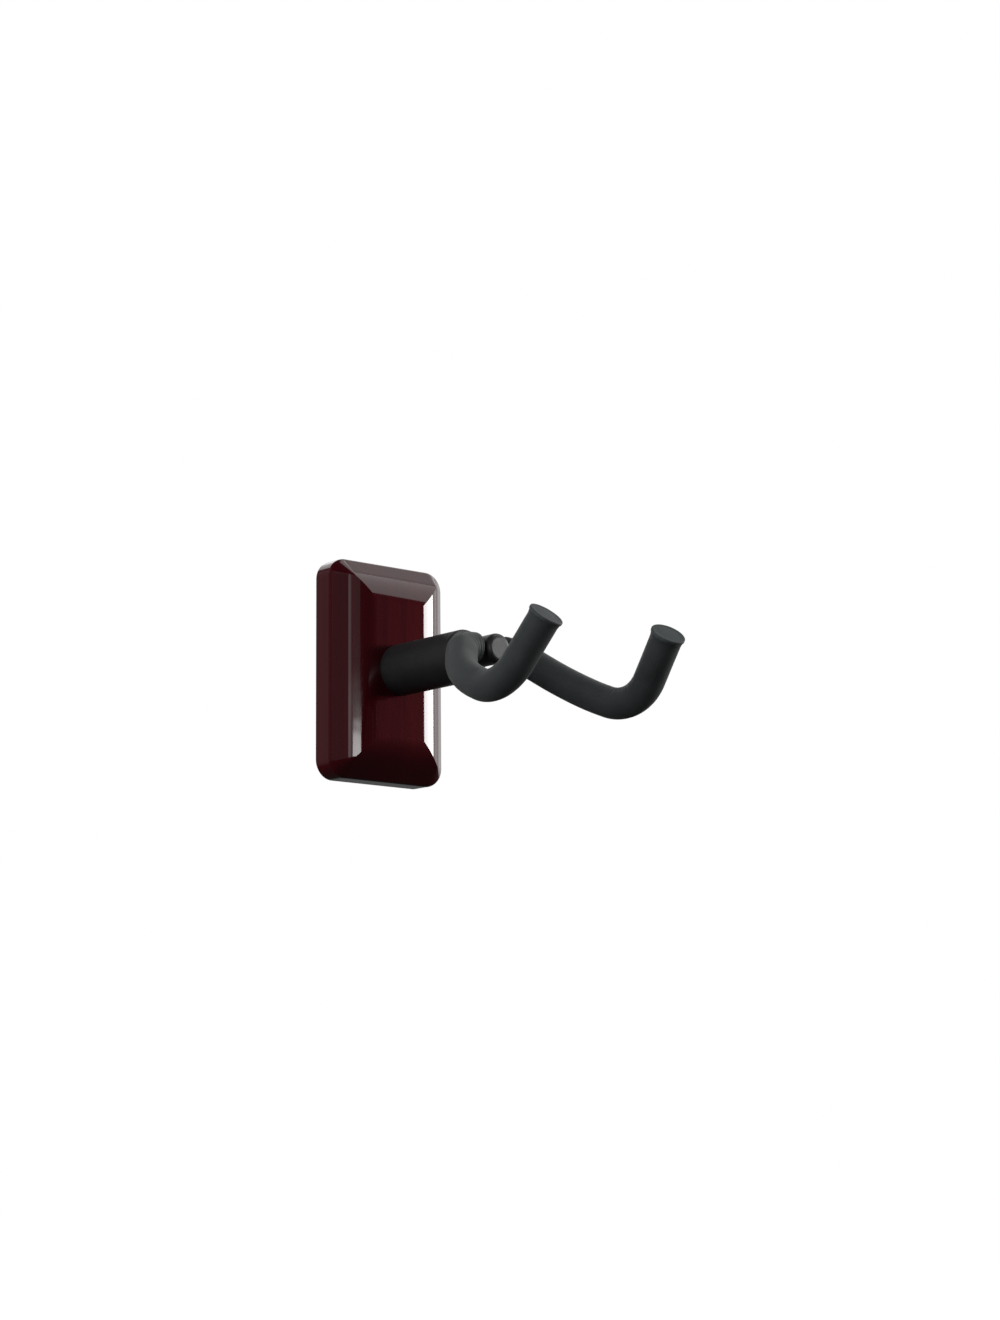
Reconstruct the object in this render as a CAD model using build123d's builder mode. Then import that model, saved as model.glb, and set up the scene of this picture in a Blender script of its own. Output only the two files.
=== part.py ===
from build123d import *
import os

# A wall guitar hanger: a lacquered wooden plate, a round arm that stands out of it, and a yoke of
# two foam-covered hooks that swivels about the arm's axis.
#
# Frame, in millimetres: the origin lies on the arm's axis, in the plane of the wall behind the
# plate. +X is to the right seen from the front, +Z is up, and the arm points along -Y.
# Every "start" and "end" below is a distance out from the wall, so it is minus Y.

# ---- wooden plate ----
PLATE_W = 58.0
PLATE_H = 90.0
PLATE_T = 18.5
PLATE_CORNER_R = 8.0
PLATE_SIDE_T = 9.2          # height of the upright side, below the bevel
BEVEL_RUN = 10.4            # plan width of the bevel before its top is rounded
BEVEL_TOP_R = 17.0          # rounding between the bevel and the front panel
BEVEL_FOOT_R = 2.5          # rounding between the bevel and the side
SOCKET_DEPTH = 3.5          # how deep the arm's tube stands in the plate
WEB_T = 4.0                 # wood between that socket and the bolt's counterbore
FIT = 0.05                  # radial gap between pieces that are pushed together

# ---- keyhole bracket, let into the back of the plate ----
BRACKET_W = 34.0
BRACKET_H = 80.0
BRACKET_T = 2.0
BRACKET_CORNER_R = 4.0
KEY_SPACING = 48.0          # between the round entries of the two keyholes
KEY_ENTRY_R = 4.5
KEY_SLOT_R = 2.3
KEY_DROP = 8.0              # how far the hanger drops onto its wall screws
KEY_POCKET_R = 6.5
KEY_POCKET_DEPTH = 7.0
TOOL_HOLE_R = 8.0
SCREW_X = 12.5
SCREW_Z = 35.0
SCREW_R = 1.6
SCREW_HEAD_R = 3.2
SCREW_POINT = 3.0
SCREW_LENGTH = 11.0
SCREW_CROSS = 3.4           # span, slot width and depth of the cross recess
SCREW_CROSS_SLOT = 0.9
SCREW_CROSS_DEPTH = 1.2

# ---- fixed arm ----
ARM_R = 10.5
ARM_END = 60.0
ARM_EDGE = 0.8
TUBE_OUTER_R = 9.0
TUBE_INNER_R = 7.0
NUT_LENGTH = 12.0
BOLT_R = 4.0
BOLT_LENGTH = 20.0
BOLT_HEAD_R = 7.0
BOLT_HEAD_T = 4.4
BOLT_KEY = 5.0
BOLT_KEY_DEPTH = 2.6
WASHER_R = 12.0
WASHER_T = 2.0
SPRING_WASHER_R = 7.4
SPRING_WASHER_GAP = 1.2
PIN_R = 1.0
PIN_LENGTH = 7.0
PIN_OFFSET = 5.5

# ---- swivel ----
SHANK_R = 5.0
RUNNING = 0.04              # radial running clearance of the shank in its bushes
END_PLAY = 0.1
BUSH_FLANGE_T = 1.5
BUSH_FLANGE_R = 8.9
FRONT_BUSH_LENGTH = 10.0
REAR_BUSH_START = 37.0
REAR_BUSH_LENGTH = 8.0
THRUST_WASHER_R = 8.5
THRUST_WASHER_T = 1.0
TAIL_R = 3.0
TAIL_LENGTH = 8.0
KEEPER_R = 6.6
KEEPER_T = 1.5
LOCK_NUT_KEY = 10.0
LOCK_NUT_T = 6.0
COLLAR_R = 8.0
COLLAR_T = 2.5
BOSS_R = 6.0
BOSS_END = 80.5

# ---- yoke ----
ROD_R = 3.5
FOAM_R = 6.3
SLEEVE_FROM = 7.2           # the foam starts this far to each side of the arm's axis
CAP_R = 6.9
CAP_T = 1.4
CAP_PLUG_LENGTH = 6.0
ROD_SHORT_OF_TIP = 8.0      # the rod ends this far inside the foam

# Centre line of the rod on the right side: out of the boss, forward and down to the heel and the
# toe of the hook, and up to its tip. The left side is its mirror image.
ROD_LINE_Y = -74.0
SHOULDER = Vector(14.0, ROD_LINE_Y, 0.0)
HEEL = Vector(30.0, -92.5, -15.6)
TOE = Vector(34.7, -120.3, -27.0)
TIP = Vector(31.0, -143.0, 0.0)
SHOULDER_R = 11.0
HEEL_R = 51.0
TOE_R = 19.7

# ---- places that follow from those sizes ----
socket_floor = PLATE_T - SOCKET_DEPTH
web_start = socket_floor - WEB_T
washer_start = web_start - WASHER_T
spring_start = washer_start - WASHER_T
bolt_head_start = spring_start - BOLT_HEAD_T
tube_end = ARM_END - BUSH_FLANGE_T
thrust_start = ARM_END + END_PLAY / 2
collar_start = thrust_start + THRUST_WASHER_T + END_PLAY / 2
keeper_start = REAR_BUSH_START - END_PLAY - KEEPER_T
lock_nut_start = keeper_start - LOCK_NUT_T
tip_direction = (TIP - TOE).normalized()

# Cross sections across the wall: local y is the distance out from it.
LEVEL = Plane((0, 0, 0), x_dir=(1, 0, 0), z_dir=(0, 0, -1))
UPRIGHT = Plane((0, 0, 0), x_dir=(0, 0, 1), z_dir=(1, 0, 0))
BACK = Plane((0, 0, 0), x_dir=(-1, 0, 0), z_dir=(0, 1, 0))

os.makedirs("parts", exist_ok=True)


def outward(distance):
    """The plane this far out from the wall: its x is X, its y is Z and its normal is -Y."""
    return Plane.XZ.offset(distance)


def save(piece, name):
    """Label a finished piece and write it out."""
    piece.part.label = name
    export_step(piece.part, f"parts/{name}.step")


def ring(inner_r, outer_r, start, length):
    """A washer, bush or tube on the arm's axis."""
    with BuildPart() as piece:
        with BuildSketch(outward(start)):
            Circle(outer_r)
            Circle(inner_r, mode=Mode.SUBTRACT)
        extrude(amount=length)
    return piece


def half_section(half):
    """Half of the plate's cross section, from the middle out to its side, on the XY plane."""
    start = min(0, half - BEVEL_RUN - BEVEL_TOP_R)
    with BuildSketch() as section:
        with BuildLine():
            Polyline(
                (start, 0), (half, 0), (half, PLATE_SIDE_T), (half - BEVEL_RUN, PLATE_T), (start, PLATE_T),
                close=True,
            )
        make_face()
        top_of_bevel = section.vertices().sort_by(Axis.X)[2]
        fillet(top_of_bevel, radius=BEVEL_TOP_R)
        foot_of_bevel = section.vertices().group_by(Axis.X)[-1].sort_by(Axis.Y)[-1]
        fillet(foot_of_bevel, radius=BEVEL_FOOT_R)
        Rectangle(half, PLATE_T, align=(Align.MIN, Align.MIN), mode=Mode.INTERSECT)
    return section.sketch


# ---- mounting plate: a raised panel, whose bevel follows the outline round its corners ----
corner_x = PLATE_W / 2 - PLATE_CORNER_R
corner_z = PLATE_H / 2 - PLATE_CORNER_R
with BuildPart() as plate_corners:
    with BuildSketch(Plane((corner_x, 0, corner_z), x_dir=(1, 0, 0), z_dir=(0, 0, -1))):
        add(half_section(PLATE_CORNER_R))
    revolve(axis=Axis((corner_x, 0, corner_z), (0, -1, 0)), revolution_arc=90)
    mirror(about=Plane.YZ)
    mirror(about=Plane.XY)

with BuildPart() as mounting_plate:
    with BuildSketch(outward(0)):
        Rectangle(PLATE_W, PLATE_H)
    extrude(amount=PLATE_T)
    for plane, half, reach in ((LEVEL, PLATE_W / 2, PLATE_H), (UPRIGHT, PLATE_H / 2, PLATE_W)):
        with BuildSketch(plane):
            add(half_section(half))
            mirror(about=Plane.YZ)
        extrude(amount=reach, both=True, mode=Mode.INTERSECT)
    with BuildSketch(outward(0)):
        with GridLocations(PLATE_W - PLATE_CORNER_R, PLATE_H - PLATE_CORNER_R, 2, 2):
            Rectangle(PLATE_CORNER_R, PLATE_CORNER_R)
    extrude(amount=PLATE_T, mode=Mode.SUBTRACT)
    add(plate_corners.part)
    # bracket recess, with pockets for the wall screws' heads and a counterbore for the bolt
    with BuildSketch(outward(0)):
        RectangleRounded(BRACKET_W + 2 * FIT, BRACKET_H + 2 * FIT, BRACKET_CORNER_R)
    extrude(amount=BRACKET_T, mode=Mode.SUBTRACT)
    with BuildSketch(outward(0)):
        with Locations((0, KEY_DROP / 2)):
            with GridLocations(0, KEY_SPACING, 1, 2):
                SlotCenterToCenter(KEY_DROP, 2 * KEY_POCKET_R, rotation=90)
    extrude(amount=KEY_POCKET_DEPTH, mode=Mode.SUBTRACT)
    with BuildSketch(outward(0)):
        Circle(WASHER_R + 0.5)
    extrude(amount=web_start, mode=Mode.SUBTRACT)
    # the arm's socket, its bolt hole and the hole for its locating pin
    with BuildSketch(outward(socket_floor)):
        Circle(TUBE_OUTER_R + FIT)
    extrude(amount=SOCKET_DEPTH, mode=Mode.SUBTRACT)
    with BuildSketch(outward(0)):
        Circle(BOLT_R + FIT)
        with Locations((0, -PIN_OFFSET)):
            Circle(PIN_R + FIT)
    extrude(amount=PLATE_T, mode=Mode.SUBTRACT)
    # pilot holes for the bracket's screws
    with BuildSketch(outward(0)):
        with GridLocations(2 * SCREW_X, 2 * SCREW_Z, 2, 2):
            Circle(SCREW_R + FIT)
    extrude(amount=SCREW_LENGTH + FIT, mode=Mode.SUBTRACT)
save(mounting_plate, "mounting_plate")


# ---- keyhole bracket ----
with BuildPart() as keyhole_bracket:
    with BuildSketch(outward(0)):
        RectangleRounded(BRACKET_W, BRACKET_H, BRACKET_CORNER_R)
        Circle(TOOL_HOLE_R, mode=Mode.SUBTRACT)
        with GridLocations(0, KEY_SPACING, 1, 2):
            Circle(KEY_ENTRY_R, mode=Mode.SUBTRACT)
        with Locations((0, KEY_DROP / 2)):
            with GridLocations(0, KEY_SPACING, 1, 2):
                SlotCenterToCenter(KEY_DROP, 2 * KEY_SLOT_R, rotation=90, mode=Mode.SUBTRACT)
    extrude(amount=BRACKET_T)
    with Locations(BACK):
        with GridLocations(2 * SCREW_X, 2 * SCREW_Z, 2, 2):
            CounterSinkHole(SCREW_R + FIT, SCREW_HEAD_R + FIT, counter_sink_angle=90)
save(keyhole_bracket, "keyhole_bracket")


# ---- four countersunk wood screws that hold the bracket ----
with BuildPart() as screw:
    with BuildSketch(Plane.XZ):
        with BuildLine():
            Polyline(
                (0, 0),
                (SCREW_HEAD_R, 0),
                (SCREW_R, SCREW_HEAD_R - SCREW_R),
                (SCREW_R, SCREW_LENGTH - SCREW_POINT),
                (0, SCREW_LENGTH),
                close=True,
            )
        make_face()
    revolve(axis=Axis.Z)
    with BuildSketch():
        Rectangle(SCREW_CROSS, SCREW_CROSS_SLOT)
        Rectangle(SCREW_CROSS_SLOT, SCREW_CROSS)
    extrude(amount=SCREW_CROSS_DEPTH, mode=Mode.SUBTRACT)
with BuildPart() as bracket_screws:
    with Locations(outward(0)):
        with GridLocations(2 * SCREW_X, 2 * SCREW_Z, 2, 2):
            add(screw.part)
save(bracket_screws, "bracket_screws")


# ---- bolt that clamps the arm to the plate, with its washers, nut and locating pin ----
with BuildPart() as arm_bolt:
    with BuildSketch(outward(bolt_head_start)):
        Circle(BOLT_HEAD_R)
    extrude(amount=BOLT_HEAD_T)
    rim = arm_bolt.edges().group_by(Axis.Y)[-1]
    fillet(rim, radius=BOLT_HEAD_T / 2)
    with BuildSketch(outward(bolt_head_start)):
        RegularPolygon(BOLT_KEY / 2, 6, major_radius=False)
    extrude(amount=BOLT_KEY_DEPTH, mode=Mode.SUBTRACT)
    with BuildSketch(outward(spring_start)):
        Circle(BOLT_R)
    extrude(amount=BOLT_LENGTH)
    chamfer(arm_bolt.edges().group_by(Axis.Y)[0], length=0.6)
save(arm_bolt, "arm_bolt")

with BuildPart() as spring_washer:
    with BuildSketch(outward(spring_start)):
        Circle(SPRING_WASHER_R)
        Circle(BOLT_R + FIT, mode=Mode.SUBTRACT)
        with Locations((0, -SPRING_WASHER_R / 2)):
            Rectangle(SPRING_WASHER_GAP, SPRING_WASHER_R + 1, mode=Mode.SUBTRACT)
    extrude(amount=WASHER_T)
save(spring_washer, "spring_washer")

arm_washer = ring(BOLT_R + FIT, WASHER_R, washer_start, WASHER_T)
save(arm_washer, "arm_washer")

with BuildPart() as arm_nut:
    with BuildSketch(outward(socket_floor)):
        Circle(TUBE_INNER_R - FIT)
        Circle(BOLT_R + FIT, mode=Mode.SUBTRACT)
    extrude(amount=NUT_LENGTH)
    with BuildSketch(outward(socket_floor)):
        with Locations((0, -PIN_OFFSET)):
            Circle(PIN_R + FIT)
    extrude(amount=PIN_LENGTH - WEB_T + FIT, mode=Mode.SUBTRACT)
save(arm_nut, "arm_nut")

with BuildPart() as locating_pin:
    with BuildSketch(outward(web_start)):
        with Locations((0, -PIN_OFFSET)):
            Circle(PIN_R)
    extrude(amount=PIN_LENGTH)
save(locating_pin, "locating_pin")


# ---- arm: steel tube in a moulded cover ----
arm_tube = ring(TUBE_INNER_R, TUBE_OUTER_R, socket_floor, tube_end - socket_floor)
save(arm_tube, "arm_tube")

with BuildPart() as arm_cover:
    with BuildSketch(outward(PLATE_T)):
        Circle(ARM_R)
    extrude(amount=ARM_END - PLATE_T)
    fillet(arm_cover.edges().group_by(Axis.Y)[0], radius=ARM_EDGE)
    with BuildSketch(outward(PLATE_T)):
        Circle(TUBE_OUTER_R + FIT)
    extrude(amount=ARM_END - PLATE_T, mode=Mode.SUBTRACT)
save(arm_cover, "arm_cover")


# ---- swivel bushes, pressed into the tube ----
with BuildPart() as front_bush:
    with BuildSketch(outward(ARM_END - FRONT_BUSH_LENGTH)):
        Circle(TUBE_INNER_R - FIT)
    extrude(amount=FRONT_BUSH_LENGTH)
    with BuildSketch(outward(tube_end)):
        Circle(BUSH_FLANGE_R)
    extrude(amount=BUSH_FLANGE_T)
    with BuildSketch(outward(ARM_END - FRONT_BUSH_LENGTH)):
        Circle(SHANK_R + RUNNING)
    extrude(amount=FRONT_BUSH_LENGTH, mode=Mode.SUBTRACT)
save(front_bush, "front_bush")

rear_bush = ring(SHANK_R + RUNNING, TUBE_INNER_R - FIT, REAR_BUSH_START, REAR_BUSH_LENGTH)
save(rear_bush, "rear_bush")

thrust_washer = ring(SHANK_R + RUNNING, THRUST_WASHER_R, thrust_start, THRUST_WASHER_T)
save(thrust_washer, "thrust_washer")


# ---- yoke pivot: threaded tail, shank, collar and the boss that the rod passes through ----
with BuildPart() as yoke_pivot:
    with BuildSketch(outward(keeper_start + KEEPER_T - TAIL_LENGTH)):
        Circle(TAIL_R)
    extrude(amount=TAIL_LENGTH)
    chamfer(yoke_pivot.edges().group_by(Axis.Y)[-1], length=0.5)
    with BuildSketch(outward(keeper_start + KEEPER_T)):
        Circle(SHANK_R)
    extrude(amount=collar_start - keeper_start - KEEPER_T)
    with BuildSketch(outward(collar_start)):
        Circle(COLLAR_R)
    extrude(amount=COLLAR_T)
    with BuildSketch(outward(collar_start)):
        Circle(BOSS_R)
    extrude(amount=BOSS_END - collar_start)
    fillet(yoke_pivot.edges().group_by(Axis.Y)[0], radius=2.0)
    with BuildSketch(Plane.YZ):
        with Locations((ROD_LINE_Y, 0)):
            Circle(ROD_R + FIT / 2)
    extrude(amount=COLLAR_R, both=True, mode=Mode.SUBTRACT)
save(yoke_pivot, "yoke_pivot")

keeper_washer = ring(TAIL_R + FIT, KEEPER_R, keeper_start, KEEPER_T)
save(keeper_washer, "keeper_washer")

with BuildPart() as lock_nut:
    with BuildSketch(outward(lock_nut_start)):
        RegularPolygon(LOCK_NUT_KEY / 2, 6, major_radius=False)
        Circle(TAIL_R + FIT, mode=Mode.SUBTRACT)
    extrude(amount=LOCK_NUT_T)
save(lock_nut, "lock_nut")


# ---- yoke rod: one bent steel bar, symmetric about the arm's axis ----
def mirrored(point):
    return Vector(-point.X, point.Y, point.Z)


rod_tip = TIP - tip_direction * ROD_SHORT_OF_TIP
with BuildPart() as yoke_rod:
    with BuildLine() as rod_line:
        FilletPolyline(
            mirrored(rod_tip),
            mirrored(TOE),
            mirrored(HEEL),
            mirrored(SHOULDER),
            SHOULDER,
            HEEL,
            TOE,
            rod_tip,
            radius=(TOE_R, HEEL_R, SHOULDER_R, SHOULDER_R, HEEL_R, TOE_R),
        )
    with BuildSketch(Plane(origin=rod_line.line @ 0, z_dir=rod_line.line % 0)):
        Circle(ROD_R)
    sweep()
save(yoke_rod, "yoke_rod")


# ---- foam sleeves and tip caps, one of each per hook ----
for side, sign in (("left", -1), ("right", 1)):
    start, shoulder, heel, toe, tip = (
        Vector(sign * point.X, point.Y, point.Z)
        for point in (Vector(SLEEVE_FROM, ROD_LINE_Y, 0), SHOULDER, HEEL, TOE, TIP)
    )
    up = (tip - toe).normalized()
    sleeve_end = tip - up * CAP_T

    with BuildPart() as foam_sleeve:
        with BuildLine() as sleeve_line:
            FilletPolyline(
                start, shoulder, heel, toe, sleeve_end, radius=(SHOULDER_R, HEEL_R, TOE_R)
            )
        with BuildSketch(Plane(origin=start, z_dir=sleeve_line.line % 0)):
            Circle(FOAM_R)
            Circle(ROD_R + FIT, mode=Mode.SUBTRACT)
        sweep()
    save(foam_sleeve, f"{side}_foam_sleeve")

    with BuildPart() as tip_cap:
        with BuildSketch(Plane(origin=sleeve_end, z_dir=up)):
            Circle(CAP_R)
        extrude(amount=CAP_T)
        fillet(tip_cap.edges(), radius=CAP_T * 0.3)
        with BuildSketch(Plane(origin=sleeve_end, z_dir=up)):
            Circle(ROD_R)
        extrude(amount=-CAP_PLUG_LENGTH)
    save(tip_cap, f"{side}_tip_cap")
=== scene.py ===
import math

import bpy
import numpy as np
from mathutils import Matrix, Vector, noise

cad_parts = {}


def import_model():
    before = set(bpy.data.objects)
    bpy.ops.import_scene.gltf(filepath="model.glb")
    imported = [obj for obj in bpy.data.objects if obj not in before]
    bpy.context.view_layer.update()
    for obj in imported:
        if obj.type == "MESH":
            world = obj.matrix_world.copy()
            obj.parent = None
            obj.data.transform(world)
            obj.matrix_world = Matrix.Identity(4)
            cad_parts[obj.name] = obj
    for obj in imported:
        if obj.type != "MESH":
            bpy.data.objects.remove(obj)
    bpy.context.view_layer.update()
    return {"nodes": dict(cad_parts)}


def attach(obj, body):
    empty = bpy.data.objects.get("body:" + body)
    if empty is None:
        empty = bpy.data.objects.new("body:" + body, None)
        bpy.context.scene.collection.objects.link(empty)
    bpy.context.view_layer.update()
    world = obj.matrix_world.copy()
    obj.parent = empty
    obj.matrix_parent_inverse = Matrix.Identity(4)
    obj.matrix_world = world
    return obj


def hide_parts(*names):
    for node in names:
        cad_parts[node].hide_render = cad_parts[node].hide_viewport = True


# The looks of a wall guitar hanger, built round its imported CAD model. Everything is in metres, in
# the model's frame: the wall is the plane y = 0, the arm points along -Y, and +Z is up.

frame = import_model()
nodes = frame["nodes"]

MM = 0.001

# ---- the yoke's centre line on the right side, as the CAD model bends it ----
ROD_LINE_Y = -74.0 * MM
SHOULDER = Vector((14.0, -74.0, 0.0)) * MM
HEEL = Vector((30.0, -92.5, -15.6)) * MM
TOE = Vector((34.7, -120.3, -27.0)) * MM
TIP = Vector((31.0, -143.0, 0.0)) * MM
BEND_RADII = (11.0 * MM, 51.0 * MM, 19.7 * MM)
SLEEVE_FROM = 7.2 * MM
ROD_R = 3.5 * MM
FOAM_R = 6.3 * MM
CAP_R = 6.9 * MM
CAP_T = 1.4 * MM
BOSS_R = 6.0 * MM

# ---- the recess in the plate's back, where the wood is bare, with a little to spare ----
RECESS_HALF_W = 17.2 * MM
RECESS_HALF_H = 40.2 * MM
RECESS_DEPTH = 11.6 * MM
BACK_SKIN = 0.05 * MM


# ======================================================================= materials

class Shader:
    """A material's node tree, with short calls for the nodes used here."""

    def __init__(self, name):
        self.material = bpy.data.materials.new(name)
        self.material.use_nodes = True
        self.tree = self.material.node_tree
        self.bsdf = self.tree.nodes["Principled BSDF"]
        self.place = self.tree.nodes.new("ShaderNodeTexCoord").outputs["Object"]

    def node(self, kind, **settings):
        made = self.tree.nodes.new(kind)
        for key, value in settings.items():
            setattr(made, key, value)
        return made

    def link(self, source, target):
        self.tree.links.new(source, target)

    def feed(self, target, value):
        """Set a socket to a number or colour, or link another node's output to it."""
        if isinstance(value, bpy.types.NodeSocket):
            self.link(value, target)
        else:
            target.default_value = value

    def stretched(self, scale):
        """The object's own coordinates, scaled along each axis."""
        mapping = self.node("ShaderNodeMapping")
        self.link(self.place, mapping.inputs["Vector"])
        mapping.inputs["Scale"].default_value = scale
        return mapping.outputs["Vector"]

    def noise(self, scale, detail=3.0, rough=0.5, stretch=None, distortion=0.0):
        made = self.node("ShaderNodeTexNoise")
        self.link(self.stretched(stretch) if stretch else self.place, made.inputs["Vector"])
        made.inputs["Scale"].default_value = scale
        made.inputs["Detail"].default_value = detail
        made.inputs["Roughness"].default_value = rough
        made.inputs["Distortion"].default_value = distortion
        return made.outputs["Fac"]

    def cells(self, scale):
        made = self.node("ShaderNodeTexVoronoi")
        self.link(self.place, made.inputs["Vector"])
        made.inputs["Scale"].default_value = scale
        return made.outputs["Distance"]

    def ramp(self, value, stops):
        """Map a value through colour stops given as (place, (r, g, b))."""
        made = self.node("ShaderNodeValToRGB")
        self.link(value, made.inputs["Fac"])
        elements = made.color_ramp.elements
        while len(elements) < len(stops):
            elements.new(0.5)
        for element, (place, colour) in zip(elements, stops):
            element.position = place
            element.color = (*colour, 1.0)
        return made.outputs["Color"]

    def spread(self, value, low, high, to_low, to_high):
        """Map a value's range to another range, held at its ends."""
        made = self.node("ShaderNodeMapRange")
        self.feed(made.inputs["Value"], value)
        made.inputs["From Min"].default_value = low
        made.inputs["From Max"].default_value = high
        made.inputs["To Min"].default_value = to_low
        made.inputs["To Max"].default_value = to_high
        return made.outputs["Result"]

    def maths(self, operation, a, b):
        made = self.node("ShaderNodeMath", operation=operation)
        self.feed(made.inputs[0], a)
        self.feed(made.inputs[1], b)
        return made.outputs["Value"]

    def mix(self, factor, a, b):
        """Blend two colours; sockets 6 and 7 are the mix node's colour inputs, and output 2 its colour."""
        made = self.node("ShaderNodeMix", data_type="RGBA")
        self.feed(made.inputs["Factor"], factor)
        self.feed(made.inputs[6], a)
        self.feed(made.inputs[7], b)
        return made.outputs[2]

    def bump(self, height, strength, distance, after=None):
        made = self.node("ShaderNodeBump")
        made.inputs["Strength"].default_value = strength
        made.inputs["Distance"].default_value = distance
        self.link(height, made.inputs["Height"])
        if after is not None:
            self.link(after, made.inputs["Normal"])
        return made.outputs["Normal"]

    def set(self, **sockets):
        """Feed sockets of the Principled shader, named with underscores for spaces."""
        for key, value in sockets.items():
            self.feed(self.bsdf.inputs[key.replace("_", " ")], value)
        return self.material


def grey(value):
    return (value, value, value, 1.0)


def lacquered_wood():
    """Dark cherry lacquer over close-grained wood; bare wood in the back's recess."""
    s = Shader("lacquered_wood")
    figure = s.noise(24.0, detail=4.0, rough=0.55, stretch=(1.0, 1.0, 0.10), distortion=0.6)
    streaks = s.noise(420.0, detail=3.0, rough=0.6, stretch=(1.0, 1.0, 0.030))
    pores = s.noise(1500.0, detail=2.0, rough=0.5, stretch=(1.0, 1.0, 0.035))
    stain = s.ramp(figure, [(0.30, (0.032, 0.0009, 0.0036)), (0.70, (0.052, 0.0024, 0.0038))])
    streaked = s.mix(s.spread(streaks, 0.40, 0.75, 0.0, 0.32), stain, (0.021, 0.0007, 0.0026, 1.0))
    pored = s.mix(s.spread(pores, 0.60, 0.74, 0.0, 0.3), streaked, (0.012, 0.0005, 0.0015, 1.0))
    # bare wood: inside the recess's outline and shallower than the front's bevel
    place = s.node("ShaderNodeSeparateXYZ")
    s.link(s.place, place.inputs["Vector"])
    aside = s.maths("ABSOLUTE", place.outputs["X"], 0.0)
    along = s.maths("ABSOLUTE", place.outputs["Z"], 0.0)
    narrow = s.maths("LESS_THAN", aside, RECESS_HALF_W)
    short = s.maths("LESS_THAN", along, RECESS_HALF_H)
    inside = s.maths("MULTIPLY", narrow, short)
    shallow = s.maths("GREATER_THAN", place.outputs["Y"], -RECESS_DEPTH)
    deep = s.maths("LESS_THAN", place.outputs["Y"], -BACK_SKIN)
    bare = s.maths("MULTIPLY", s.maths("MULTIPLY", inside, shallow), deep)
    raw = s.mix(s.spread(streaks, 0.3, 0.7, 0.0, 1.0), (0.30, 0.155, 0.085, 1.0), (0.19, 0.088, 0.045, 1.0))
    peel = s.bump(s.noise(130.0, detail=1.0), 0.03, 0.4 * MM)
    grain = s.bump(pores, 0.12, 0.06 * MM)
    s.set(Base_Color=s.mix(bare, pored, raw), Normal=grain, Specular_IOR_Level=0.0)
    s.set(Roughness=s.spread(streaks, 0.3, 0.7, 0.42, 0.54), Metallic=s.spread(bare, 0.0, 1.0, 0.22, 0.0))
    s.set(Coat_Weight=s.spread(bare, 0.0, 1.0, 1.0, 0.0), Coat_Normal=peel)
    return s.set(Coat_Roughness=0.06, Coat_IOR=1.5)


def moulded_black():
    """Satin black moulding with a fine spark texture."""
    s = Shader("moulded_black")
    fine = s.noise(2600.0, detail=2.0, rough=0.6)
    broad = s.noise(70.0, detail=3.0)
    s.set(Base_Color=s.ramp(broad, [(0.3, (0.0085, 0.0088, 0.0095)), (0.7, (0.012, 0.0125, 0.0135))]))
    s.set(Roughness=s.spread(fine, 0.3, 0.7, 0.40, 0.52), Normal=s.bump(fine, 0.25, 0.05 * MM))
    return s.set(Specular_IOR_Level=0.5)


def foam_rubber():
    """Closed-cell foam: matt charcoal with a skin of tiny cells and handling marks."""
    s = Shader("foam_rubber")
    cells = s.cells(2300.0)
    grain = s.noise(3600.0, detail=3.0, rough=0.6)
    rubbed = s.noise(95.0, detail=4.0, rough=0.6)
    base = s.ramp(rubbed, [(0.25, (0.0170, 0.0193, 0.0205)), (0.75, (0.0258, 0.0290, 0.0308))])
    dotted = s.mix(s.spread(cells, 0.0, 0.45, 0.45, 0.0), base, (0.0095, 0.0105, 0.0110, 1.0))
    skin = s.bump(cells, 0.22, 0.09 * MM)
    s.set(Base_Color=dotted, Normal=s.bump(grain, 0.30, 0.05 * MM, after=skin))
    s.set(Roughness=s.spread(rubbed, 0.3, 0.7, 0.62, 0.78))
    return s.set(Sheen_Weight=0.10, Sheen_Roughness=0.45, Sheen_Tint=grey(0.8), Specular_IOR_Level=0.38)


def cap_rubber():
    """The tip caps' rubber, a little lighter and smoother than the foam."""
    s = Shader("cap_rubber")
    grain = s.noise(3000.0, detail=3.0, rough=0.6)
    rubbed = s.noise(260.0, detail=4.0, rough=0.65)
    s.set(Base_Color=s.ramp(rubbed, [(0.3, (0.027, 0.033, 0.0345)), (0.75, (0.039, 0.0470, 0.0485))]))
    s.set(Roughness=s.spread(rubbed, 0.3, 0.7, 0.58, 0.74), Normal=s.bump(grain, 0.25, 0.05 * MM))
    return s.set(Specular_IOR_Level=0.4)


def powder_coat():
    """Black powder coat on steel, with its orange-peel skin."""
    s = Shader("powder_coat")
    peel = s.noise(1100.0, detail=2.0, rough=0.4)
    fine = s.noise(3200.0, detail=2.0)
    s.set(Base_Color=s.ramp(fine, [(0.3, (0.010, 0.010, 0.0105)), (0.7, (0.015, 0.015, 0.016))]))
    s.set(Roughness=s.spread(fine, 0.3, 0.7, 0.34, 0.46), Normal=s.bump(peel, 0.30, 0.08 * MM))
    return s.set(Specular_IOR_Level=0.5)


def zinc_steel(name, tone, stretch):
    """Zinc-plated steel with rolled or turned marks along one direction."""
    s = Shader(name)
    marks = s.noise(900.0, detail=4.0, rough=0.6, stretch=stretch)
    cloud = s.noise(120.0, detail=4.0, rough=0.6)
    light = (tone, tone * 1.01, tone * 0.99)
    dark = tuple(0.80 * part for part in light)
    s.set(Base_Color=s.ramp(cloud, [(0.3, dark), (0.7, light)]), Metallic=1.0)
    return s.set(Roughness=s.spread(cloud, 0.3, 0.7, 0.26, 0.42), Normal=s.bump(marks, 0.18, 0.04 * MM))


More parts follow.
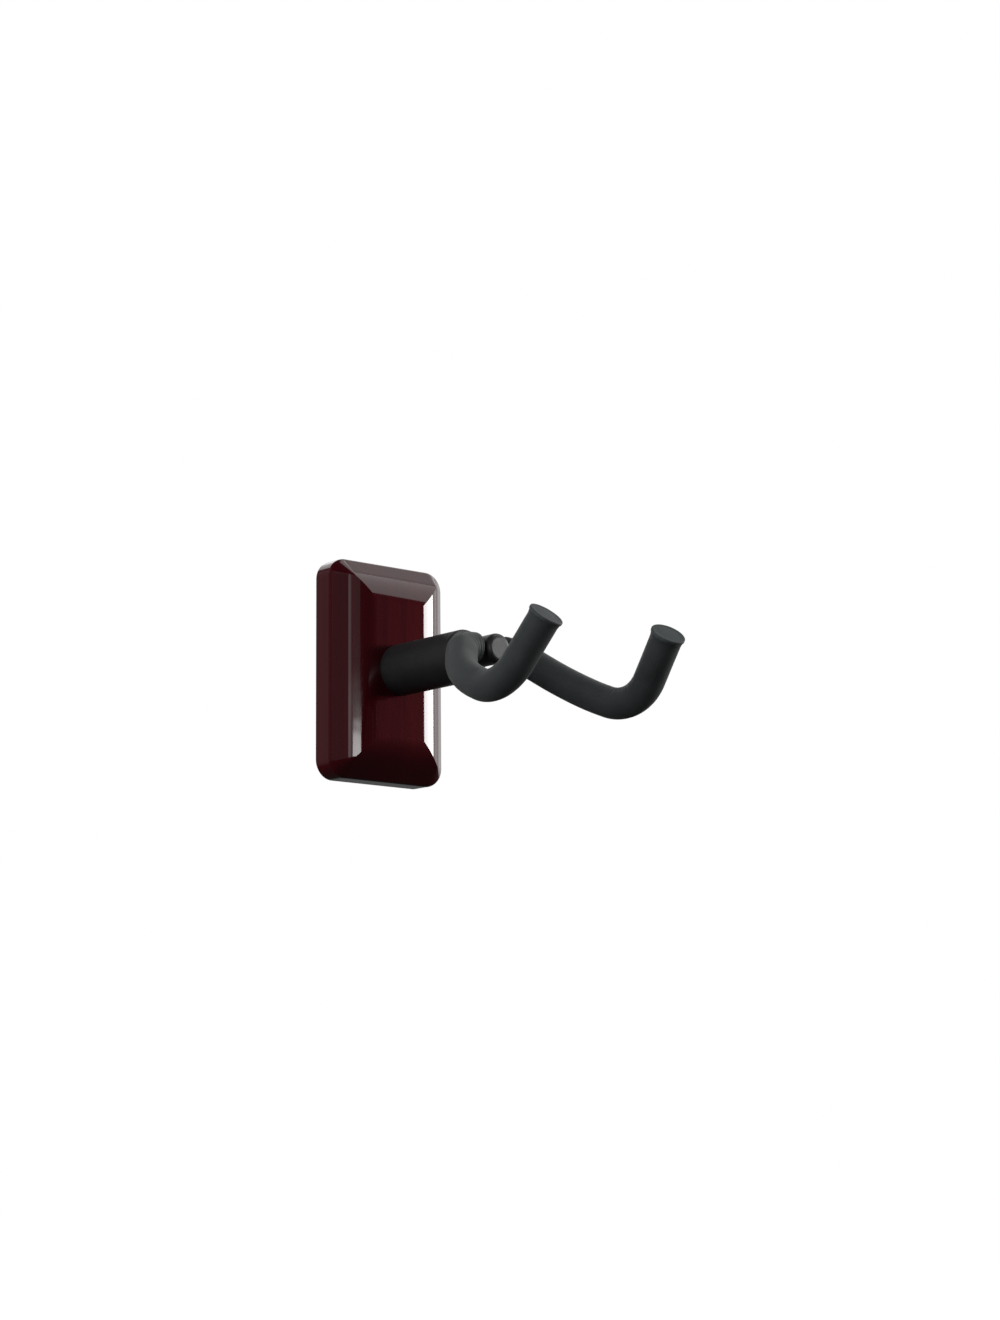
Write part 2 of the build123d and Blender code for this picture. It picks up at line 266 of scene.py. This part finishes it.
def acetal():
    """Black bearing plastic, slightly waxy."""
    s = Shader("acetal")
    swirl = s.noise(500.0, detail=3.0, rough=0.6)
    s.set(Base_Color=s.ramp(swirl, [(0.3, (0.013, 0.013, 0.0135)), (0.7, (0.019, 0.019, 0.0195))]))
    s.set(Roughness=s.spread(swirl, 0.3, 0.7, 0.38, 0.50), Normal=s.bump(swirl, 0.10, 0.05 * MM))
    return s.set(Specular_IOR_Level=0.5)


def paint(obj, material):
    """Give every material slot of an object this material."""
    if not obj.material_slots:
        obj.data.materials.append(material)
    for held in obj.material_slots:
        held.material = material


WOOD = lacquered_wood()
BLACK = moulded_black()
FOAM = foam_rubber()
CAP = cap_rubber()
COAT = powder_coat()
PLATE_STEEL = zinc_steel("rolled_steel", 0.62, (1.0, 1.0, 0.05))
TURNED_STEEL = zinc_steel("turned_steel", 0.58, (1.0, 0.25, 1.0))
SCREW_STEEL = zinc_steel("screw_steel", 0.33, (1.0, 1.0, 1.0))
ACETAL = acetal()

for names, material in (
    (("mounting_plate",), WOOD),
    (("arm_cover",), BLACK),
    (("arm_tube", "yoke_pivot", "yoke_rod"), COAT),
    (("keyhole_bracket",), PLATE_STEEL),
    (("arm_bolt", "spring_washer", "arm_washer", "arm_nut", "locating_pin"), TURNED_STEEL),
    (("keeper_washer", "lock_nut"), TURNED_STEEL),
    (("bracket_screws",), SCREW_STEEL),
    (("front_bush", "rear_bush", "thrust_washer"), ACETAL),
    (("left_foam_sleeve", "right_foam_sleeve"), FOAM),
    (("left_tip_cap", "right_tip_cap"), CAP),
):
    for name in names:
        paint(nodes[name], material)


# ======================================================================= mesh helpers

def mesh_object(name, vertices, faces, material):
    mesh = bpy.data.meshes.new(name)
    mesh.from_pydata([tuple(v) for v in vertices], [], faces)
    mesh.validate()
    mesh.polygons.foreach_set("use_smooth", [True] * len(mesh.polygons))
    mesh.update()
    obj = bpy.data.objects.new(name, mesh)
    bpy.context.scene.collection.objects.link(obj)
    paint(obj, material)
    return obj


def skin(rings, closed_start, closed_end):
    """Vertices and faces of rings of equal length, joined in order, with fans on closed ends."""
    count = len(rings[0])
    vertices = [point for circle in rings for point in circle]
    faces = []
    for i in range(len(rings) - 1):
        for j in range(count):
            k = (j + 1) % count
            faces.append((i * count + j, i * count + k, (i + 1) * count + k, (i + 1) * count + j))
    for closed, row in ((closed_start, 0), (closed_end, len(rings) - 1)):
        if closed:
            centre = len(vertices)
            vertices.append(sum((Vector(p) for p in rings[row]), Vector()) / count)
            for j in range(count):
                k = (j + 1) % count
                pair = (row * count + j, row * count + k)
                faces.append((centre, *(reversed(pair) if row == 0 else pair)))
    return vertices, faces


def lathe(name, profile, origin, axis, material, segments=96):
    """A turned piece: profile holds (radius, height) from its start to its end along the axis."""
    turn = axis.to_track_quat("Z", "Y").to_matrix()
    rings = []
    for radius, height in profile:
        circle = []
        for j in range(segments):
            angle = 2 * math.pi * j / segments
            local = Vector((radius * math.cos(angle), radius * math.sin(angle), height))
            circle.append(origin + turn @ local)
        rings.append(circle)
    vertices, faces = skin(rings, True, True)
    return mesh_object(name, vertices, faces, material)


def bent_line(points, radii, step):
    """Even points along straight runs joined by tangent arcs, as a bar is bent."""
    raw = [points[0]]
    for before, corner, after, radius in zip(points, points[1:], points[2:], radii):
        back, on = (before - corner).normalized(), (after - corner).normalized()
        half = (math.pi - back.angle(on)) / 2
        reach = radius * math.tan(half)
        centre = corner + (back + on).normalized() * (radius / math.cos(half))
        first, last = corner + back * reach - centre, corner + on * reach - centre
        for i in range(33):
            share = i / 32
            blend = first * math.sin((1 - share) * 2 * half) + last * math.sin(share * 2 * half)
            raw.append(centre + blend / math.sin(2 * half))
    raw.append(points[-1])
    line = np.array([tuple(p) for p in raw])
    gaps = np.linalg.norm(np.diff(line, axis=0), axis=1)
    run = np.concatenate([[0.0], np.cumsum(gaps)])
    count = int(run[-1] / step) + 1
    even = np.linspace(0.0, run[-1], count)
    return even, np.stack([np.interp(even, run, line[:, k]) for k in range(3)], axis=1)


def moving_frames(line):
    """Tangent, side and up vectors along a line, carried without twist."""
    tangents = np.gradient(line, axis=0)
    tangents /= np.linalg.norm(tangents, axis=1)[:, None]
    side = np.cross(tangents[0], (0.0, 0.0, 1.0))
    side /= np.linalg.norm(side)
    sides = []
    for tangent in tangents:
        side = side - tangent * (side @ tangent)
        side = side / np.linalg.norm(side)
        sides.append(side)
    sides = np.array(sides)
    return tangents, sides, np.cross(tangents, sides)


def ring_at(centre, side, up, radii):
    """A ring round a point of a line, with one radius for each of its even steps."""
    ring = []
    for j, radius in enumerate(radii):
        angle = 2 * math.pi * j / len(radii)
        ring.append(centre + (side * math.cos(angle) + up * math.sin(angle)) * radius)
    return ring


# ======================================================================= foam sleeves

SLEEVE_STEP = 0.35 * MM
SLEEVE_SEGMENTS = 96
LIP_R = 0.7 * MM            # rounding of the sleeve's cut end
WRINKLE_STEP = 2.6 * MM
WRINKLE_DEPTH = 0.22 * MM
UNEVEN = 0.09 * MM
FULL_FOLD_R = 16.0 * MM     # a bend this tight folds the foam fully
BEND_BLUR = 15              # steps of the line that a bend's onset is spread over
FLARE_LENGTH = 2.4 * MM     # stretch under the cap over which the sleeve widens
FLARE = 0.35 * MM
BORE_R = ROD_R + 0.06 * MM
BORE_SHOWN = 4.0 * MM


def sleeve_radius(distance, length):
    """The sleeve's outer radius: rounded at its cut end and flared a little under its cap."""
    radius = FOAM_R
    if distance < LIP_R:
        drop = 1 - distance / LIP_R
        radius -= LIP_R * (1 - math.sqrt(max(0.0, 1 - drop * drop)))
    to_cap = length - distance
    if to_cap < FLARE_LENGTH:
        radius += FLARE * (1 - to_cap / FLARE_LENGTH) ** 2
    return radius


def foam_sleeve(side, sign):
    """A foam tube over one side of the rod, with soft folds inside its bends."""
    corners = [Vector((SLEEVE_FROM, ROD_LINE_Y, 0)), SHOULDER, HEEL, TOE, TIP]
    corners = [Vector((sign * p.x, p.y, p.z)) for p in corners]
    corners[-1] -= (corners[-1] - corners[-2]).normalized() * CAP_T
    run, line = bent_line(corners, BEND_RADII, SLEEVE_STEP)
    tangents, sides, ups = moving_frames(line)
    bending = np.gradient(tangents, run, axis=0)
    smooth = np.hanning(BEND_BLUR) / np.hanning(BEND_BLUR).sum()
    spare = BEND_BLUR // 2
    padded = np.pad(bending, ((spare, spare), (0, 0)), mode="edge")
    bending = np.stack([np.convolve(padded[:, k], smooth, mode="valid") for k in range(3)], axis=1)
    length = run[-1]
    rings = []
    # the bore's first few millimetres, then the cut end's face
    mouth = ((BORE_SHOWN, BORE_R), (0.3 * MM, BORE_R), (0.0, ROD_R + 0.35 * MM))
    for depth, radius in mouth:
        centre = line[0] + tangents[0] * depth
        rings.append(ring_at(centre, sides[0], ups[0], [radius] * SLEEVE_SEGMENTS))
    for i, distance in enumerate(run):
        base = sleeve_radius(distance, length)
        radii = []
        for j in range(SLEEVE_SEGMENTS):
            angle = 2 * math.pi * j / SLEEVE_SEGMENTS
            outward = sides[i] * math.cos(angle) + ups[i] * math.sin(angle)
            inner = max(0.0, float(outward @ bending[i]) * FULL_FOLD_R)
            place = Vector(line[i] + outward * FOAM_R)
            drift = noise.noise(place * 160.0) * 0.5 * WRINKLE_STEP
            fold = 0.5 + 0.5 * math.sin(2 * math.pi * (distance + drift) / WRINKLE_STEP)
            uneven = UNEVEN * (noise.noise(place * 90.0 + Vector((7.0 * sign, 0, 0))) - 0.35)
            radii.append(base + uneven - WRINKLE_DEPTH * min(1.0, inner) ** 1.5 * fold)
        rings.append(ring_at(line[i], sides[i], ups[i], radii))
    vertices, faces = skin(rings, False, True)
    sleeve = mesh_object(f"{side}_foam", vertices, faces, FOAM)
    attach(sleeve, "yoke")
    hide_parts(f"{side}_foam_sleeve")


def tip_cap(side, sign):
    """The hook's end: a rubber disc with a soft rim, slightly dished."""
    tip = Vector((sign * TIP.x, TIP.y, TIP.z))
    toe = Vector((sign * TOE.x, TOE.y, TOE.z))
    up = (tip - toe).normalized()
    rim = 0.45 * MM
    spigot = 5.0 * MM
    dish = 0.22 * MM
    crown = 0.16 * MM
    profile = [(ROD_R, -spigot), (ROD_R, 0.0), (CAP_R - rim, 0.0)]
    for i in range(9):
        angle = -math.pi / 2 + math.pi * i / 8
        middle = rim if angle < 0 else CAP_T - rim
        profile.append((CAP_R - rim + rim * math.cos(angle), middle + rim * math.sin(angle)))
    profile += [(CAP_R - 1.0 * MM, CAP_T - 0.06 * MM), (CAP_R - 1.6 * MM, CAP_T - dish)]
    for share in (0.6, 0.4, 0.2):
        profile.append((share * CAP_R, CAP_T - dish + crown * (1 - share ** 2)))
    cap = lathe(f"{side}_cap", profile, tip - up * CAP_T, up, CAP)
    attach(cap, "yoke")
    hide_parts(f"{side}_tip_cap")


for side, sign in (("left", -1), ("right", 1)):
    foam_sleeve(side, sign)
    tip_cap(side, sign)


# ======================================================================= weld beads

def weld_bead(side, sign):
    """A rippled bead where the rod enters the boss."""
    centre = Vector((0.0, ROD_LINE_Y, 0.0))
    reach = 1.3 * MM
    sink = 0.25 * MM            # how far the bead's foot lies inside the boss
    tuck = 0.6 * MM             # how far its toe runs under the foam
    bite = 0.05 * MM            # how far it lies inside the rod
    ripple_height = 0.09 * MM
    ripples = 20
    segments = 72
    rings = []
    for step in range(9):
        share = step / 8
        circle = []
        for j in range(segments):
            angle = 2 * math.pi * j / segments
            y, z = math.cos(angle), math.sin(angle)
            ripple = ripple_height * math.sin(ripples * angle + sign)
            wall = math.sqrt(max(0.0, BOSS_R ** 2 - ((ROD_R + reach * (1 - share)) * z) ** 2))
            x = wall - sink + share * (SLEEVE_FROM + tuck - wall)
            radius = ROD_R + reach * (1 - share) ** 2 + ripple * (1 - share) - bite
            circle.append(centre + Vector((sign * x, radius * y, radius * z)))
        rings.append(circle if sign > 0 else circle[::-1])
    vertices, faces = skin(rings, True, True)
    bead = mesh_object(f"{side}_weld", vertices, faces, COAT)
    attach(bead, "yoke")


for side, sign in (("left", -1), ("right", 1)):
    weld_bead(side, sign)


# ======================================================================= floor, lights, camera

FLOOR_Z = -0.42
FLOOR_REACH = 40.0
FILL = 0.03                 # what the object gets from the white world
CAMERA_PLACE = (-0.7293, -0.9271, -0.2103)
CAMERA_AZIMUTH = -40.74
CAMERA_ELEVATION = -10.42
CAMERA_ROLL = -0.52
CAMERA_LENS = 79.45


def floor():
    """A pale floor far below, bright enough to run into the white behind it."""
    mesh = bpy.data.meshes.new("floor")
    turns = ((-1, -1), (1, -1), (1, 1), (-1, 1))
    corners = [(x * FLOOR_REACH, y * FLOOR_REACH, FLOOR_Z) for x, y in turns]
    mesh.from_pydata(corners, [], [(0, 1, 2, 3)])
    obj = bpy.data.objects.new("floor", mesh)
    bpy.context.scene.collection.objects.link(obj)
    s = Shader("pale_floor")
    tone = s.ramp(s.noise(1.5), [(0.3, (0.84, 0.84, 0.84)), (0.7, (0.88, 0.88, 0.88))])
    s.set(Base_Color=tone, Roughness=0.9)
    s.set(Emission_Color=grey(1.0), Emission_Strength=1.0)
    paint(obj, s.material)
    obj.visible_glossy = False
    obj.visible_diffuse = False


LIGHT_TARGET = Vector((0.0, -0.05, 0.0))


def heading(azimuth, elevation):
    """A direction from the hanger: azimuth 0 is straight out from the wall and 90 is to the right."""
    turn, lift = math.radians(azimuth), math.radians(elevation)
    return Vector((math.sin(turn) * math.cos(lift), -math.cos(turn) * math.cos(lift), math.sin(lift)))


LIGHT_DISTANCE = 1.5


def softbox(name, azimuth, elevation, wide, high, radiance, glossy=True, diffuse=True):
    """A rectangular light that faces the hanger and looks this many degrees wide and high from it."""
    light = bpy.data.lights.new(name, "AREA")
    light.shape = "RECTANGLE"
    light.size = 2 * LIGHT_DISTANCE * math.tan(math.radians(wide / 2))
    light.size_y = 2 * LIGHT_DISTANCE * math.tan(math.radians(high / 2))
    light.energy = radiance * math.pi * light.size * light.size_y
    obj = bpy.data.objects.new(name, light)
    bpy.context.scene.collection.objects.link(obj)
    towards = heading(azimuth, elevation)
    obj.location = LIGHT_TARGET + towards * LIGHT_DISTANCE
    obj.rotation_mode = "QUATERNION"
    obj.rotation_quaternion = towards.to_track_quat("Z", "Y")
    obj.visible_camera = False
    obj.visible_glossy = glossy
    obj.visible_diffuse = diffuse


def world():
    """White to the camera and a dim fill to the object, as in a cut-out product picture."""
    made = bpy.data.worlds.new("studio")
    bpy.context.scene.world = made
    made.use_nodes = True
    tree = made.node_tree
    background = tree.nodes["Background"]
    background.inputs["Color"].default_value = grey(1.0)
    path = tree.nodes.new("ShaderNodeLightPath")
    strength = tree.nodes.new("ShaderNodeMapRange")
    strength.inputs["To Min"].default_value = FILL
    strength.inputs["To Max"].default_value = 1.0
    tree.links.new(path.outputs["Is Camera Ray"], strength.inputs["Value"])
    tree.links.new(strength.outputs["Result"], background.inputs["Strength"])


def camera():
    """The camera stands left of the hanger and below it, and looks up at it."""
    azimuth, roll = math.radians(CAMERA_AZIMUTH), math.radians(CAMERA_ROLL)
    back = heading(CAMERA_AZIMUTH, CAMERA_ELEVATION)
    right = Vector((math.cos(azimuth), math.sin(azimuth), 0.0))
    up = back.cross(right)
    tilted_right = right * math.cos(roll) + up * math.sin(roll)
    tilted_up = up * math.cos(roll) - right * math.sin(roll)
    data = bpy.data.cameras.new("camera")
    data.lens = CAMERA_LENS
    data.sensor_width = 36.0
    data.clip_start, data.clip_end = 0.01, 100.0
    obj = bpy.data.objects.new("camera", data)
    bpy.context.scene.collection.objects.link(obj)
    turn = Matrix((tilted_right, tilted_up, back)).transposed().to_4x4()
    obj.matrix_world = Matrix.Translation(CAMERA_PLACE) @ turn
    bpy.context.scene.camera = obj


bpy.context.scene.view_settings.view_transform = "Standard"
floor()
world()
softbox("left_key", -95, 20, 60, 60, 3.4, glossy=False)
# three strips whose edges step towards the right, so that the streak they make fades that way
for step, right_edge in enumerate((-41.5, -40.5, -39.0)):
    left_edge = -45.2 + 0.4 * step
    middle, width = (left_edge + right_edge) / 2, right_edge - left_edge
    softbox(f"left_strip_{step}", middle, 12, width, 46, 0.30, diffuse=False)
softbox("left_wash", -38, 12, 44, 46, 0.13, diffuse=False)
softbox("left_haze", -31, 12, 30, 46, 0.11, diffuse=False)
softbox("left_glow", -29, 4, 32, 12, 0.45)
softbox("low_lamp", -22, 6.0, 26, 4.6, 8.5, diffuse=False)
softbox("left_room", -105, 15, 100, 60, 0.08)
softbox("rear_room", -150, 12, 40, 60, 0.07)
softbox("rear_key", 172, 18, 36, 44, 1.5)
softbox("right_box", 63.2, 9, 36, 12, 17.0)
softbox("right_edge", 91, 9, 22, 24, 1.4, diffuse=False)
softbox("wall_bounce", 130, 17, 56, 44, 0.72)
softbox("low_bounce", 140, -14, 50, 20, 0.12)
softbox("top_box", 60, 50, 34, 58, 1.45)
softbox("top_wing", 114, 50, 30, 40, 0.70)
softbox("overhead", 0, 75, 60, 60, 0.2, glossy=False)
softbox("under_fill", -60, -60, 60, 60, 0.8, glossy=False)
camera()
